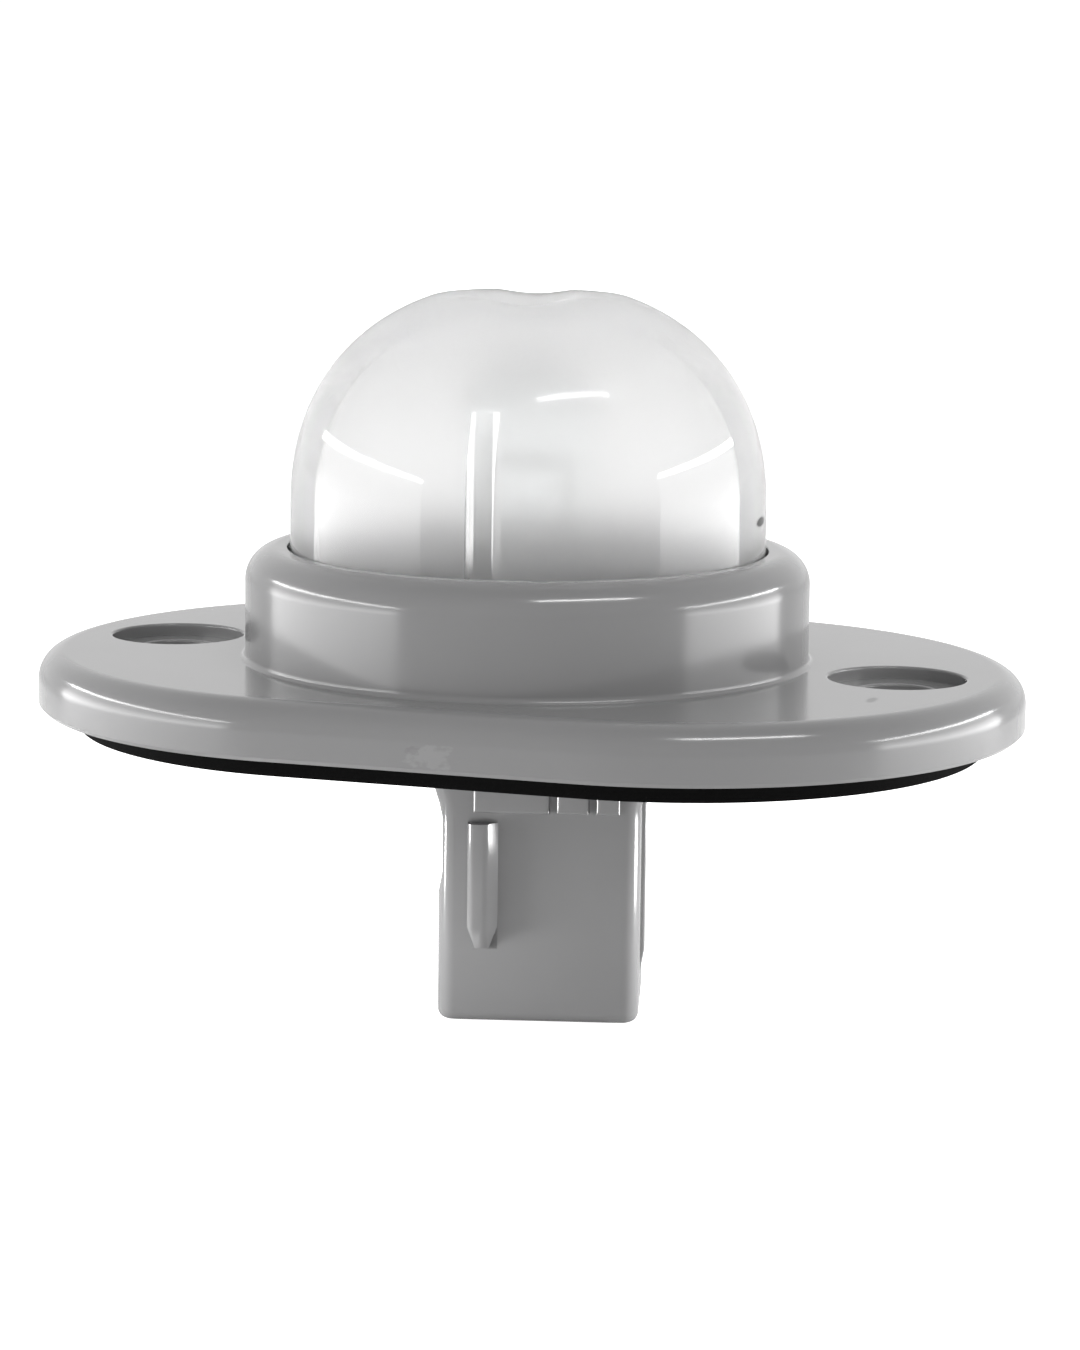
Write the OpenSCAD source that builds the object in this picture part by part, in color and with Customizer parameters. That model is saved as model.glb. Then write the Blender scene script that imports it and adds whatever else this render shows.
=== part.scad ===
/* [Flange] */
// Reach of the flange beyond the collar, at each end
ear_l = 15.6; // [14.6:0.1:20]
// Width of the flange
flange_w = 50; // [48:0.5:60]
// Thickness of the flange
flange_t = 4; // [3.5:0.25:5]
// Radius along the flange's top edge
flange_edge_r = 2; // [0.5:0.25:2.5]
// Distance from the flange's end to a screw hole's middle
screw_inset = 8.75; // [8:0.25:9.5]
// Diameter of a screw hole
screw_hole_d = 5.4; // [4.4:0.1:6]
// Diameter of the recess round a screw hole
recess_d = 9.6; // [8.4:0.1:10.4]
// Depth of that recess
recess_depth = 0.9; // [0.4:0.1:1.2]
// Thickness of the plate above the cored underside
plate_t = 2.6; // [2:0.1:3]
// Width of the solid rim round the cored underside
rim_w = 7; // [4:0.5:8]
// Wall of the boss round a screw hole, in the cored underside
screw_boss_wall = 2.6; // [2:0.1:3]

/* [Collar and cup] */
// Wall of the collar round the lens
collar_wall = 3; // [2.4:0.1:3.4]
// Height of the collar above the flange
collar_h = 7.85; // [6.5:0.25:10]
// Radius along the collar's top edge
collar_edge_r = 2.3; // [0.5:0.1:2.3]
// Radius of the fillet where the collar meets the flange
collar_foot_r = 0.4; // [0.2:0.1:0.6]
// Depth from the collar's top to the seat of the lens seal
lens_seat_depth = 5.85; // [5:0.25:6.5]
// Width of the ledge that the lens seal sits on
seat_ledge = 2.6; // [1.8:0.1:3]
// Thickness of the cup's floor
cup_floor_t = 2; // [1.5:0.25:2.5]
// Width of the prising notch in the collar's inner edge
notch_w = 1.3; // [0.8:0.1:2]
// Depth of that notch below the collar's top
notch_depth = 1.2; // [0.6:0.1:2]
// Direction of that notch, from the front
notch_angle = 20; // [0:1:60]
// Reach of that notch into the collar's wall
notch_reach = 0.9; // [0.5:0.1:1]

/* [Lens] */
// Outer diameter of the lens
lens_d = 33.9; // [32:0.1:34.5]
// Wall of the lens
lens_wall = 1.9; // [1.5:0.1:2.4]
// Clearance between the bulb's tip and the lens's crown
tip_gap = 2.65; // [2:0.05:4]
// Height of the lens's straight skirt
skirt_h = 7.85; // [6:0.25:9]
// Height by which the flat top cuts the crown's curve short
crown_cut = 0.85; // [0.5:0.05:1.5]
// Power of the crown's curve, where 2 is an ellipse and more is squarer
crown_power = 2.22; // [2:0.02:2.6]
// Width of the shallow channel across the crown
channel_w = 5; // [3:0.25:7]
// Depth of that channel
channel_d = 0.4; // [0.2:0.05:0.8]
// Width of the rib inside the lens
rib_w = 1.9; // [1.2:0.1:2.6]
// Depth of that rib at the skirt
rib_t = 2; // [1:0.1:2.5]
// Direction of that rib, from the front
rib_angle = 7; // [0:1:30]
// Height of the snap bead round the skirt
bead_h = 0.35; // [0.2:0.05:0.4]
// Distance of that bead's middle above the lens's lower edge
bead_rise = 1.6; // [1.2:0.1:2.4]
// Clearance round the lens in its collar
lens_fit = 0.2; // [0.1:0.05:0.3]

/* [Seals] */
// Thickness of the flange gasket
gasket_t = 1.5; // [1:0.25:2.5]
// Distance of the gasket's edge inside the flange's edge
gasket_inset = 2.9; // [1:0.1:4]
// Diameter of the gasket's window
gasket_window_d = 34; // [30:0.5:36]
// Thickness of the lens seal
seal_t = 1; // [0.8:0.1:1.4]

/* [Connector] */
// Turn of the connector and bulb against the flange, in degrees
turn = 14; // [0:1:20]
// Offset of the connector from the bulb's axis
shroud_offset = 1.3; // [0.8:0.1:1.6]
// Width of the connector shroud
shroud_w = 14.4; // [13.8:0.1:15.4]
// Depth of the connector shroud, front to back
shroud_d = 10.6; // [10:0.1:12]
// Wall of the connector shroud
shroud_wall = 1.4; // [1.2:0.1:1.6]
// Reach of the shroud below the mounting face
shroud_l = 20.3; // [18:0.1:24]
// Radius on the shroud's upright corners
shroud_r = 1.2; // [0.6:0.1:1.5]
// Chamfer round the outside of the shroud's mouth
mouth_chamfer = 0.7; // [0.2:0.1:0.9]
// Depth of the connector's socket
socket_depth = 14.5; // [12:0.5:14.5]
// Depth of the relief on the shroud's left side
relief_d = 0.3; // [0.1:0.05:0.4]
// Length of that relief
relief_l = 6.4; // [4:0.2:8]
// Length of the ramp at that relief's lower end
relief_ramp = 1.5; // [0.5:0.1:2]
// Width of a key rib at its foot
key_w = 2.2; // [1.8:0.1:2.6]
// Width of a key rib's crest, which has one steep and one sloped flank
key_crest_w = 1.4; // [0.8:0.1:1.6]
// Length of the ramp at a key rib's lower end
key_ramp = 1.7; // [1:0.1:2.5]
// Height of the front key rib above its face
front_key_h = 1; // [0.6:0.05:1.2]
// Height of the side key rib above its face
side_key_h = 0.3; // [0.2:0.05:0.6]
// Distance of the front key rib from the shroud's middle
key_offset = 4; // [3.4:0.1:4.4]
// Reach of the front key rib below the mounting face
front_key_l = 14.9; // [10:0.1:17]
// Reach of the side key rib below the mounting face
side_key_l = 17.5; // [10:0.5:17.5]
// Width by which the shroud flares out at its root
root_flare = 0.35; // [0.2:0.05:0.7]
// Reach of that flare below the mounting face
root_l = 4.6; // [4.2:0.1:5]
// Height of the ledges that the harness plug stops against
ledge_h = 0.8; // [0.6:0.05:0.9]
// Reach of those ledges below the mounting face
ledge_l = 4.9; // [4:0.1:5.2]

/* [Bulb] */
// Diameter of the bulb's glass
bulb_d = 10; // [9:0.1:10.2]
// Wall of the bulb's glass
glass_wall = 0.6; // [0.5:0.05:0.8]
// Overall length of the bulb
bulb_l = 26.8; // [24:0.2:28]
// Width of the bulb's wedge base
wedge_w = 9.4; // [9:0.1:9.4]
// Thickness of the wedge base
wedge_t = 2.1; // [1.9:0.1:2.4]
// Height of the wedge base
wedge_h = 7; // [6:0.25:7.5]
// Height over which the wedge's faces open out to the round bulb
neck_h = 3.6; // [3:0.1:4.5]
// Width of the notch at the wedge's foot, where the glass was pumped and sealed
foot_notch_w = 2.4; // [1.6:0.1:3]
// Height of that notch
foot_notch_h = 1.2; // [0.8:0.1:1.8]
// Height of the filament above the wedge base
filament_h = 12.7; // [10:0.1:14]
// Diameter of a lead wire
lead_d = 0.5; // [0.4:0.05:0.6]
// Distance of a lead wire from the bulb's axis
lead_x = 2.9; // [2.7:0.05:3.1]
// Height to which a lead wire is folded back up its face of the wedge
fold_h = 4.4; // [3:0.1:5]
// Diameter of the filament's wire
filament_wire_d = 0.16; // [0.12:0.02:0.2]
// Number of turns in the filament
filament_turns = 10; // [6:1:12]

/* [Holder and contacts] */
// Height of the bulb holder above the cup's floor
holder_h = 3.5; // [3:0.25:5]
// Outer wall of the bulb holder
holder_wall = 0.8; // [0.6:0.1:1]
// Thickness of the holder's rim on the cup's floor
holder_rim_t = 1.2; // [0.8:0.1:1.6]
// Width of that rim beyond the holder's wall
holder_rim = 1.3; // [1:0.1:1.6]
// Thickness of the contact strip
strip_t = 0.4; // [0.3:0.05:0.5]
// Width of a contact's spring fork
fork_w = 3; // [2.4:0.1:3.2]
// Width of a connector tab
tab_w = 2.3; // [2:0.1:2.4]
// Distance between the two connector tabs
tab_pitch = 4.7; // [4.5:0.1:5]
// Length of a tab inside the socket
tab_l = 9.6; // [8:0.2:9.8]

/* [Hidden] */

// Working clearance between pieces that are slid or laid together
slide_fit = 0.1;
close_fit = 0.02;
// Clearance of a lead wire behind its contact, and of the snap groove round its bead
wire_fit = 0.3;
groove_fit = 0.3;
// Overlap that joins two shapes of one moulding
join = 0.2;
// Amount by which a cut runs past the face that it opens
cut = 1;
// Steps and sides of the curves
arc_steps = 8;
crown_steps = 16;
neck_steps = 6;
smooth = 96;
small_smooth = 40;
wire_smooth = 24;

// Heights above the mounting face, which is the gasket's underside
z_flange = gasket_t;
z_plate = z_flange + flange_t;
z_collar = z_plate + collar_h;
z_seat = z_collar - lens_seat_depth;
z_lens = z_seat + seal_t;
z_floor = z_flange + cup_floor_t;
z_shoulder = z_floor + holder_h;
z_wedge = z_shoulder - wedge_h;
z_tip = z_wedge + bulb_l;
z_crown_start = z_lens + skirt_h;
z_crown = z_tip + tip_gap + lens_wall;
z_filament = z_shoulder + filament_h;
z_base = z_wedge - lead_d - close_fit - slide_fit - strip_t;
z_well = z_base - close_fit;
z_mouth = -shroud_l;
z_roof = z_mouth + socket_depth;
z_tab = z_roof - tab_l;

lens_r = lens_d / 2;
bore_r = lens_r + lens_fit;
collar_r = bore_r + collar_wall;
cup_r = bore_r - seat_ledge;
crown_rise = z_crown - z_crown_start + crown_cut;
flange_l = 2 * (collar_r + ear_l);
screw_pitch = flange_l - 2 * screw_inset;
end_x = (flange_l - flange_w) / 2;
end_r = flange_w / 2;
z_bead = z_lens + bead_rise;
// Half height of the snap bead, whose section is a low triangle
bead_half = 0.6;
// Chamfer along the flange's lower edge, and width of the ring left round the gasket's window
flange_foot = 0.3;
window_rim = 1;

// Floor of the boss under the holder, and corner radii of boss, holder and socket
boss_floor = 1.2;
boss_corner_r = 1.5;
holder_corner_r = 0.3;
socket_corner_r = 0.5;
holder_x = wedge_w / 2 + holder_wall + slide_fit;
fork_y = wedge_t / 2 + lead_d + strip_t + wire_fit;
holder_y = fork_y + slide_fit + holder_wall;
well_x = holder_x + slide_fit;
well_y = holder_y + slide_fit;
boss_x = well_x + shroud_wall;
boss_y = well_y + shroud_wall;
z_boss = z_well - boss_floor;

// Stop ledges on the shroud's front, from the left: where each starts from its middle, and its width
ledge_gap = 0.5;
ledge_w = [5.4, 2.3, 1.7];
ledge_start = -4.65;
ledge_x = [ledge_start, ledge_start + ledge_w[0] + ledge_gap,
           ledge_start + ledge_w[0] + ledge_w[1] + 2 * ledge_gap];
// Gap between the ledges and the top of the front key rib, whose steep flank has a little draft and
// whose lower corner is cut off beside that flank
key_gap = 0.8;
key_draft = 0.1;
key_corner = 0.6;
// Height over which the shroud's root flares out
root_rise = 1.3;

// Points along an arc, from angle a0 to a1
function arc(cx, cy, r, a0, a1) =
    [for (i = [0:arc_steps])
        [cx + r * cos(a0 + (a1 - a0) * i / arc_steps), cy + r * sin(a0 + (a1 - a0) * i / arc_steps)]];

// Outline of a rectangle with round corners, centred on x and y
function round_rect(w, d, r) = concat(
    arc(w / 2 - r, d / 2 - r, r, 0, 90),
    arc(-w / 2 + r, d / 2 - r, r, 90, 180),
    arc(-w / 2 + r, -d / 2 + r, r, 180, 270),
    arc(w / 2 - r, -d / 2 + r, r, 270, 360));

// Outline of a capsule: a straight middle with a half circle at each end
module capsule_outline(half, r) {
    square([2 * half, 2 * r], center = true);
    for (side = [-1, 1])
        translate([side * half, 0]) circle(r, $fn = smooth);
}

// Turns a shape with the connector and the bulb
module turned() {
    rotate([0, 0, turn]) children();
}

// Extrudes an outline drawn in y and z along x, from x0 to x1
module along_x(x0, x1) {
    translate([x0, 0, 0]) rotate([90, 0, 90]) linear_extrude(x1 - x0) children();
}

// Extrudes an outline drawn in x and z along y, from y0 to y1
module along_y(y0, y1) {
    translate([0, y1, 0]) rotate([90, 0, 0]) linear_extrude(y1 - y0) children();
}

// Half of the flange's section: flat underside, upright side, round top edge
flange_half = concat(
    [[0, z_flange], [end_r - flange_foot, z_flange], [end_r, z_flange + flange_foot]],
    arc(end_r - flange_edge_r, z_plate - flange_edge_r, flange_edge_r, 0, 90),
    [[0, z_plate]]);

// Solid flange: two revolved ends and two mirrored halves of its straight middle
module flange_plate() {
    for (side = [0, 180])
        rotate([0, 0, side]) translate([end_x, 0, 0]) rotate([0, 0, -90])
            rotate_extrude(angle = 180, $fn = smooth) polygon(flange_half);
    for (side = [0, 1])
        mirror([0, side, 0]) along_x(-end_x, end_x) polygon(flange_half);
}

// Pockets that keep the flange's wall even, hidden above the gasket
module flange_coring() {
    boss_r = screw_hole_d / 2 + screw_boss_wall;
    translate([0, 0, z_flange - cut]) linear_extrude(flange_t - plate_t + cut) difference() {
        capsule_outline(end_x, end_r - rim_w);
        circle(gasket_window_d / 2 + window_rim, $fn = smooth);
        for (side = [-1, 1])
            translate([side * screw_pitch / 2, 0]) circle(boss_r, $fn = small_smooth);
    }
}

// Collar round the lens, with a round top edge and a small fillet at its foot
module collar_wall_ring() {
    rotate_extrude($fn = smooth) polygon(concat(
        [[cup_r - join, z_flange], [collar_r - join, z_flange], [collar_r - join, z_plate - join],
         [collar_r + collar_foot_r, z_plate - join]],
        arc(collar_r + collar_foot_r, z_plate + collar_foot_r, collar_foot_r, 270, 180),
        arc(collar_r - collar_edge_r, z_collar - collar_edge_r, collar_edge_r, 0, 90),
        [[cup_r - join, z_collar]]));
}

// Space inside the collar: cup, ledge for the seal, bore with its snap groove
module cup_space() {
    groove_half = bead_half + groove_fit;
    rotate_extrude($fn = smooth) polygon([
        [0, z_floor], [cup_r, z_floor], [cup_r, z_seat], [bore_r, z_seat],
        [bore_r, z_bead - groove_half], [bore_r + bead_h, z_bead], [bore_r, z_bead + groove_half],
        [bore_r, z_collar + cut], [0, z_collar + cut]]);
}

// Boss below the cup's floor that takes the bulb holder
module holder_boss() {
    translate([0, 0, z_boss]) linear_extrude(z_floor - z_boss)
        polygon(round_rect(2 * boss_x, 2 * boss_y, boss_corner_r));
}

// A key rib of height h that stands on the plane y = 0 and faces -y, with a steep flank at its left,
// a sloped one at its right and a ramp at its lower end
module key_rib(h, z_low, z_high) {
    left = -key_w / 2;
    right = key_w / 2;
    z_ramp = z_low + key_ramp;
    intersection() {
        translate([0, 0, z_low]) linear_extrude(z_high - z_low) polygon([
            [left, join], [left, 0], [left + key_draft, -h], [left + key_crest_w, -h],
            [right, 0], [right, join]]);
        along_x(left, right)
            polygon([[join, z_low], [0, z_low], [-h, z_ramp], [-h, z_high], [join, z_high]]);
        along_y(-h, join)
            polygon([[left, z_ramp], [left + key_corner, z_low], [right, z_low], [right, z_high], [left, z_high]]);
    }
}

// Section of the shroud in a plane through its axis, with its mouth's edge chamfered and its root flared
function shroud_section(half) = [
    [mouth_chamfer - half, z_mouth], [half - mouth_chamfer, z_mouth], [half, z_mouth + mouth_chamfer],
    [half, -root_l], [half + root_flare, root_rise - root_l], [half + root_flare, z_boss + join],
    [-half - root_flare, z_boss + join], [-half - root_flare, root_rise - root_l], [-half, -root_l],
    [-half, z_mouth + mouth_chamfer]];

// Outside of the connector: shroud, stop ledges and two key ribs
module shroud_outside() {
    ledge_depth = ledge_h + join;
    wide = shroud_w + 2 * root_flare;
    deep = shroud_d + 2 * root_flare;
    translate([shroud_offset, 0, 0]) {
        intersection() {
            union() {
                translate([0, 0, z_mouth]) linear_extrude(-root_l - z_mouth)
                    polygon(round_rect(shroud_w, shroud_d, shroud_r));
                translate([0, 0, -root_l]) linear_extrude(z_boss + join + root_l)
                    polygon(round_rect(wide, deep, shroud_r));
            }
            along_x(-wide, wide) polygon(shroud_section(shroud_d / 2));
            along_y(-deep, deep) polygon(shroud_section(shroud_w / 2));
        }
        for (i = [0:len(ledge_w) - 1])
            translate([ledge_x[i], -shroud_d / 2 - ledge_h, -ledge_l])
                cube([ledge_w[i], ledge_depth, z_boss + join + ledge_l]);
        translate([-key_offset, -shroud_d / 2, 0]) key_rib(front_key_h, -front_key_l, -ledge_l - key_gap);
        translate([shroud_w / 2, 0, 0]) rotate([0, 0, 90]) key_rib(side_key_h, -side_key_l, z_boss);
    }
}

// Spaces inside the connector and its boss: socket, tab slots, well, side relief
module shroud_spaces() {
    slot_w = tab_w + 2 * slide_fit;
    slot_t = 2 * strip_t + 2 * slide_fit;
    side_x = -shroud_w / 2;
    z_relief = -root_l - relief_l;
    translate([shroud_offset, 0, 0]) {
        translate([0, 0, z_mouth - cut]) linear_extrude(socket_depth + cut)
            polygon(round_rect(shroud_w - 2 * shroud_wall, shroud_d - 2 * shroud_wall, socket_corner_r));
        for (side = [-1, 1])
            translate([side * tab_pitch / 2 - slot_w / 2, -slot_t / 2, z_roof - cut])
                cube([slot_w, slot_t, z_well - z_roof + 2 * cut]);
        along_y(-shroud_d, shroud_d) polygon([
            [side_x - cut, -root_l], [side_x, -root_l],
            [side_x + relief_d, -root_l - relief_d * root_rise / root_flare],
            [side_x + relief_d, z_relief + relief_ramp], [side_x, z_relief], [side_x - cut, z_relief]]);
    }
    translate([-well_x, -well_y, z_well]) cube([2 * well_x, 2 * well_y, z_floor - z_well + cut]);
}

// One moulding: flange, collar, cup, boss and connector shroud
module housing() {
    color("#8f9091") difference() {
        union() {
            difference() {
                flange_plate();
                flange_coring();
            }
            collar_wall_ring();
            turned() holder_boss();
            turned() shroud_outside();
        }
        cup_space();
        turned() shroud_spaces();
        for (side = [-1, 1])
            translate([side * screw_pitch / 2, 0, 0]) {
                translate([0, 0, z_flange - cut])
                    cylinder(d = screw_hole_d, h = flange_t + 2 * cut, $fn = small_smooth);
                translate([0, 0, z_plate - recess_depth])
                    cylinder(d = recess_d, h = recess_depth + cut, $fn = small_smooth);
            }
        rotate([0, 0, notch_angle]) translate([-notch_w / 2, -bore_r - notch_reach, z_collar - notch_depth])
            cube([notch_w, notch_reach + cut, notch_depth + cut]);
    }
}

// Flat rubber gasket with a round window and two screw holes
module flange_gasket() {
    color("#141414") linear_extrude(gasket_t) difference() {
        capsule_outline(end_x, end_r - gasket_inset);
        circle(d = gasket_window_d, $fn = smooth);
        for (side = [-1, 1])
            translate([side * screw_pitch / 2, 0])
                circle(d = screw_hole_d, $fn = small_smooth);
    }
}

// Points of the crown's curve inside a radius r that would rise to h, cut flat at height top
function crown_curve(r, h, top) =
    let (last = asin(pow((top - z_crown_start) / h, crown_power / 2)))
    [for (i = [0:crown_steps])
        [r * pow(cos(last * i / crown_steps), 2 / crown_power),
         z_crown_start + h * pow(sin(last * i / crown_steps), 2 / crown_power)]];

// Clear dome: snap bead on its skirt, flat crown with a channel, one rib inside
module lens() {
    inner_r = lens_r - lens_wall;
    channel_r = (channel_w * channel_w / 4 + channel_d * channel_d) / (2 * channel_d);
    color([0.92, 0.94, 0.95, 0.45]) difference() {
        rotate_extrude($fn = smooth) polygon(concat(
            [[0, z_lens], [lens_r, z_lens], [lens_r, z_bead - bead_half], [lens_r + bead_h, z_bead],
             [lens_r, z_bead + bead_half]],
            crown_curve(lens_r, crown_rise, z_crown), [[0, z_crown]]));
        difference() {
            rotate_extrude($fn = smooth) polygon(concat(
                [[0, z_lens - cut], [inner_r, z_lens - cut]],
                crown_curve(inner_r, crown_rise - lens_wall, z_crown - lens_wall),
                [[0, z_crown - lens_wall]]));
            rotate([0, 0, rib_angle]) translate([-rib_w / 2, -lens_r, z_lens])
                cube([rib_w, lens_wall + rib_t, z_crown - z_lens]);
        }
        translate([0, 0, z_crown - channel_d + channel_r]) rotate([90, 0, turn])
            cylinder(r = channel_r, h = 2 * lens_d, center = true, $fn = smooth);
    }
}

// Flat rubber ring under the lens
module lens_seal() {
    color("#1c1c1c") translate([0, 0, z_seat]) difference() {
        cylinder(r = bore_r - slide_fit, h = seal_t, $fn = smooth);
        translate([0, 0, -cut]) cylinder(r = cup_r + slide_fit, h = seal_t + 2 * cut, $fn = smooth);
    }
}

// Insert that holds the bulb's wedge base and the two contacts
module bulb_holder() {
    chamber_w = fork_w + 2 * slide_fit;
    chamber_y = fork_y + slide_fit;
    slot_x = wedge_w / 2 + slide_fit;
    slot_y = wedge_t / 2 + slide_fit;
    foot_x0 = -lead_x - chamber_w / 2;
    foot_x1 = shroud_offset + tab_pitch / 2 + tab_w / 2 + slide_fit;
    foot_top = z_base + strip_t + slide_fit;
    color("#3a3b3d") turned() difference() {
        union() {
            translate([0, 0, z_well + close_fit]) linear_extrude(z_shoulder - z_well - close_fit)
                polygon(round_rect(2 * holder_x, 2 * holder_y, holder_corner_r));
            translate([0, 0, z_floor + close_fit]) linear_extrude(holder_rim_t)
                polygon(round_rect(2 * (holder_x + holder_rim), 2 * (holder_y + holder_rim), boss_corner_r));
        }
        translate([-slot_x, -slot_y, z_wedge - lead_d]) cube([2 * slot_x, 2 * slot_y, wedge_h + lead_d + cut]);
        for (side = [-1, 1])
            translate([side * lead_x - chamber_w / 2, -chamber_y, z_well - cut])
                cube([chamber_w, 2 * chamber_y, z_shoulder - z_well + 2 * cut]);
        translate([foot_x0, -chamber_y, z_well - cut])
            cube([foot_x1 - foot_x0, 2 * chamber_y, foot_top - z_well + cut]);
    }
}

// One contact: a strip folded double for its tab, whose ends spread into two spring leaves.
// side is -1 or 1, and the leaf on that side of the wedge presses on the lead wire.
// A leaf stands upright to z_bend, leans in to z_grip and flares out again to z_flare.
module contact(side) {
    fork_x = side * lead_x;
    tab_x = shroud_offset + side * tab_pitch / 2;
    grip = wedge_t / 2 + close_fit;
    upright = 2.4;
    grip_depth = 2.2;
    flare = 0.3;
    top_gap = 0.5;
    tip_bevel = 0.5;
    tip_l = 1;
    z_bend = z_base + upright;
    z_grip = z_shoulder - grip_depth;
    z_flare = z_shoulder - top_gap;
    x0 = min(fork_x - fork_w / 2, tab_x - tab_w / 2);
    x1 = max(fork_x + fork_w / 2, tab_x + tab_w / 2);
    color("#c9a95a") turned() {
        along_x(x0, x1) translate([-fork_y, z_base]) square([2 * fork_y, strip_t]);
        along_x(fork_x - fork_w / 2, fork_x + fork_w / 2)
            for (face = [-1, 1]) {
                y = grip + (face == side ? lead_d + close_fit : 0);
                mirror([face > 0 ? 0 : 1, 0]) polygon([
                    [fork_y - strip_t, z_base], [fork_y, z_base], [fork_y, z_bend], [y + strip_t, z_grip],
                    [y + strip_t + flare, z_flare], [y + flare, z_flare], [y, z_grip],
                    [fork_y - strip_t, z_bend]]);
            }
        intersection() {
            along_x(tab_x - tab_w / 2, tab_x + tab_w / 2) polygon([
                [-strip_t, z_base + strip_t / 2], [-strip_t, z_tab + tip_l], [-strip_t / 2, z_tab],
                [strip_t / 2, z_tab], [strip_t, z_tab + tip_l], [strip_t, z_base + strip_t / 2]]);
            along_y(-strip_t, strip_t) polygon([
                [tab_x - tab_w / 2, z_base + strip_t], [tab_x - tab_w / 2, z_tab + tip_l],
                [tab_x - tab_w / 2 + tip_bevel, z_tab], [tab_x + tab_w / 2 - tip_bevel, z_tab],
                [tab_x + tab_w / 2, z_tab + tip_l], [tab_x + tab_w / 2, z_base + strip_t]]);
        }
    }
}

module left_contact() {
    contact(-1);
}

module right_contact() {
    contact(1);
}

// Half thickness of the glass between its wedge and its round bulb, t from 0 to 1
function neck(t) = wedge_t / 2 + (bulb_d / 2 + cut - wedge_t / 2) * (1 - cos(180 * t)) / 2;

// Revolved bulb with a round end, its wall set in by gap
module bulb_form(gap, z_low) {
    r = bulb_d / 2 - gap;
    shoulder_h = 3;
    z_end = z_tip - bulb_d / 2;
    rotate_extrude($fn = small_smooth) polygon(concat(
        [[0, z_low], [wedge_w / 2 - gap, z_low], [r, z_low + shoulder_h]],
        [for (i = [0:arc_steps - 1]) [r * cos(90 * i / arc_steps), z_end + r * sin(90 * i / arc_steps)]],
        [[0, z_end + r]]));
}

// Two sloped faces that flatten the bulb towards its wedge, set in by gap
module neck_form(gap) {
    half = [for (i = [0:neck_steps]) [neck(i / neck_steps) - gap, z_shoulder + neck_h * i / neck_steps]];
    top = [[bulb_d, z_shoulder + neck_h], [bulb_d, z_tip + cut]];
    for (side = [0, 1])
        mirror([0, side, 0]) along_x(-bulb_d, bulb_d)
            polygon(concat([[0, z_shoulder]], half, top, [[0, z_tip + cut]]));
}

// Clear glass capsule on a pressed wedge base
module bulb_glass() {
    // Glass between the wedge and the space inside the bulb, through which the lead wires pass
    seal_glass = 1.6;
    z_void = z_shoulder + seal_glass;
    color([0.95, 0.97, 1, 0.4]) turned() difference() {
        union() {
            along_x(-wedge_w / 2, wedge_w / 2)
                translate([-wedge_t / 2, z_wedge]) square([wedge_t, wedge_h + join]);
            intersection() {
                bulb_form(0, z_shoulder);
                neck_form(0);
            }
        }
        intersection() {
            bulb_form(glass_wall, z_void);
            neck_form(glass_wall);
        }
        for (side = [-1, 1])
            translate([side * lead_x, 0, z_wedge - cut])
                cylinder(d = lead_d + 2 * close_fit, h = z_void - z_wedge + 2 * cut, $fn = wire_smooth);
        translate([-foot_notch_w / 2, -wedge_t, z_wedge - cut])
            cube([foot_notch_w, 2 * wedge_t, foot_notch_h + cut]);
    }
}

// A lead wire: up through the wedge to the filament, and folded up one face of the wedge
module lead_wire(side) {
    r = lead_d / 2;
    z_turn = z_wedge - r - close_fit;
    y_face = side * (wedge_t / 2 + close_fit + r);
    color("#b8b8b4") turned() translate([side * lead_x, 0, 0]) {
        translate([0, 0, z_turn]) cylinder(r = r, h = z_filament - z_turn, $fn = wire_smooth);
        translate([0, 0, z_turn]) sphere(r = r, $fn = wire_smooth);
        translate([0, y_face, z_turn]) sphere(r = r, $fn = wire_smooth);
        translate([0, min(0, y_face), z_turn]) rotate([-90, 0, 0])
            cylinder(r = r, h = abs(y_face), $fn = wire_smooth);
        translate([0, y_face, z_turn]) cylinder(r = r, h = fold_h, $fn = wire_smooth);
    }
}

module left_lead_wire() {
    lead_wire(-1);
}

module right_lead_wire() {
    lead_wire(1);
}

// Coiled wire between the two lead wires, laid along their sides at its ends
module filament() {
    w = filament_wire_d / 2;
    coil_r = lead_d / 2 + w + close_fit;
    coil_half = lead_x - lead_d;
    steps = 12;
    sides = 6;
    count = filament_turns * steps;
    // A ring of points round p, square to the direction d, with n beside it
    function ring(p, d, n) =
        let (m = cross(d, n))
        [for (k = [0:sides - 1]) p + w * (cos(360 * k / sides) * n + sin(360 * k / sides) * m)];
    function coil(i) =
        let (a = 360 * i / steps,
             run = [2 * coil_half, -2 * PI * filament_turns * coil_r * sin(a),
                    2 * PI * filament_turns * coil_r * cos(a)])
        ring([coil_half * (2 * i / count - 1), coil_r * cos(a), coil_r * sin(a)],
             run / norm(run), [0, cos(a), sin(a)]);
    leg_end = lead_x + lead_d / 4;
    leg_root = coil_half + 2 * w;
    rings = concat(
        [ring([-leg_end, coil_r, 0], [1, 0, 0], [0, 1, 0]), ring([-leg_root, coil_r, 0], [1, 0, 0], [0, 1, 0])],
        [for (i = [0:count]) coil(i)],
        [ring([leg_root, coil_r, 0], [1, 0, 0], [0, 1, 0]), ring([leg_end, coil_r, 0], [1, 0, 0], [0, 1, 0])]);
    last = len(rings) - 1;
    points = [for (one = rings) for (p = one) p];
    faces = concat(
        [[for (k = [0:sides - 1]) k]],
        [for (i = [0:last - 1]) for (k = [0:sides - 1])
            let (a = i * sides + k, b = i * sides + (k + 1) % sides)
            each [[a, b + sides, b], [a, a + sides, b + sides]]],
        [[for (k = [sides - 1:-1:0]) last * sides + k]]);
    color("#6d6a66") turned() translate([0, 0, z_filament - 2 * w]) polyhedron(points, faces);
}

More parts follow.
